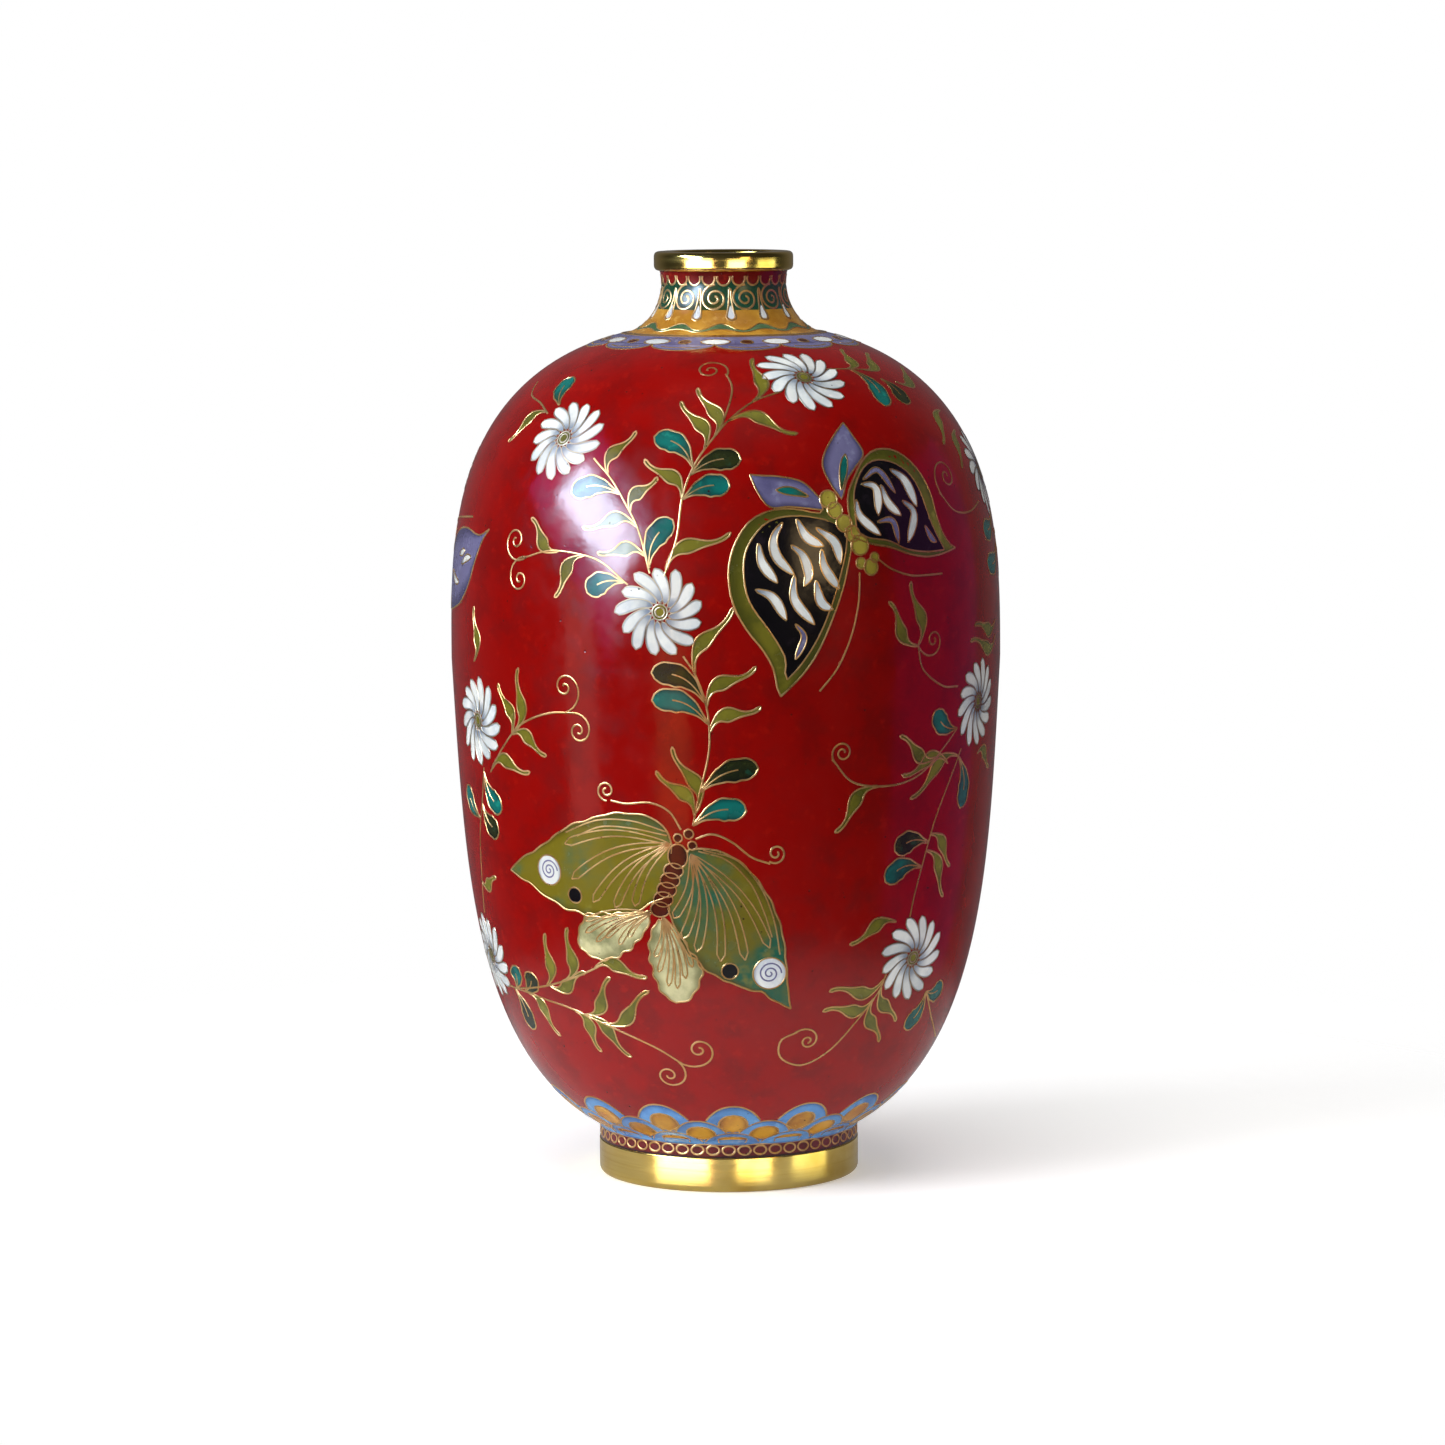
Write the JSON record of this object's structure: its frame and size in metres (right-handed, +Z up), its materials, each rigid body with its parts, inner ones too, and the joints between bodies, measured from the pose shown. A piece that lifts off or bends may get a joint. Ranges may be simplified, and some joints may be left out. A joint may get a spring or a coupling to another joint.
{
  "type": "vase",
  "caption": "Ovoid cloisonne vase with a short neck, brass mouth and foot rings, and butterflies among flowering sprays on red enamel.",
  "frame": {"origin": "centre of the circle on which the foot ring stands", "axes": "+Z up along the vase's axis, -Y towards the face with the two butterflies"},
  "size_m": [0.093, 0.093, 0.1554],
  "materials": {
    "copper_body": "hammered copper, hidden under the enamel",
    "brass_ring": "turned and polished",
    "gilt_wire": "gilt, polished flush",
    "red_enamel": "fired, ground and polished, glossy",
    "maroon_enamel": "fired, ground and polished, glossy",
    "ochre_enamel": "fired, ground and polished, glossy",
    "green_enamel": "fired, ground and polished, glossy",
    "teal_enamel": "fired, ground and polished, glossy",
    "olive_enamel": "fired, ground and polished, glossy",
    "dark_enamel": "fired, ground and polished, glossy",
    "lavender_enamel": "fired, ground and polished, glossy",
    "blue_enamel": "fired, ground and polished, glossy",
    "white_enamel": "fired, ground and polished, glossy",
    "cream_enamel": "fired, ground and polished, glossy",
    "black_enamel": "fired, ground and polished, glossy",
    "counter_enamel": "fired, ground and polished, glossy"
  },
  "bodies": {
    "root": {"lower_body_shell": "copper_body", "upper_body_shell": "copper_body", "neck_shell": "copper_body", "base_plate": "copper_body", "foot_ring": "brass_ring", "mouth_ring": "brass_ring", "lining_enamel": "counter_enamel", "base_enamel": "counter_enamel", "ground_enamel": "red_enamel", "foot_band_enamel": "maroon_enamel", "scale_band_enamel": "blue_enamel", "lappet_band_enamel": "lavender_enamel", "ochre_band_enamel": "ochre_enamel", "green_band_enamel": "green_enamel", "maroon_band_enamel": "maroon_enamel", "border_wires": "gilt_wire", "foot_loop_wires": "gilt_wire", "scale_wires": "gilt_wire", "scale_blues": "blue_enamel", "scale_hearts": "ochre_enamel", "lappets": "lavender_enamel", "lappet_lozenges": "maroon_enamel", "shoulder_ovals": "white_enamel", "lappet_wires": "gilt_wire", "wavy_cells": "teal_enamel", "drop_cells": "white_enamel", "drop_wires": "gilt_wire", "spiral_wires": "gilt_wire", "scallop_wires": "gilt_wire", "stem_wires": "gilt_wire", "curl_wires": "gilt_wire", "leaf_wires": "gilt_wire", "olive_leaves": "olive_enamel", "teal_leaves": "teal_enamel", "dark_leaves": "dark_enamel", "petal_cells": "white_enamel", "petal_wires": "gilt_wire", "daisy_hearts": "olive_enamel", "black_wings": "black_enamel", "olive_wings": "olive_enamel", "blue_wings": "lavender_enamel", "hind_wings": "cream_enamel", "wing_dashes": "white_enamel", "wing_wires": "gilt_wire", "wing_spots": "white_enamel", "butterfly_bodies": "ochre_enamel", "antenna_wires": "gilt_wire"}
  },
  "joints": []
}
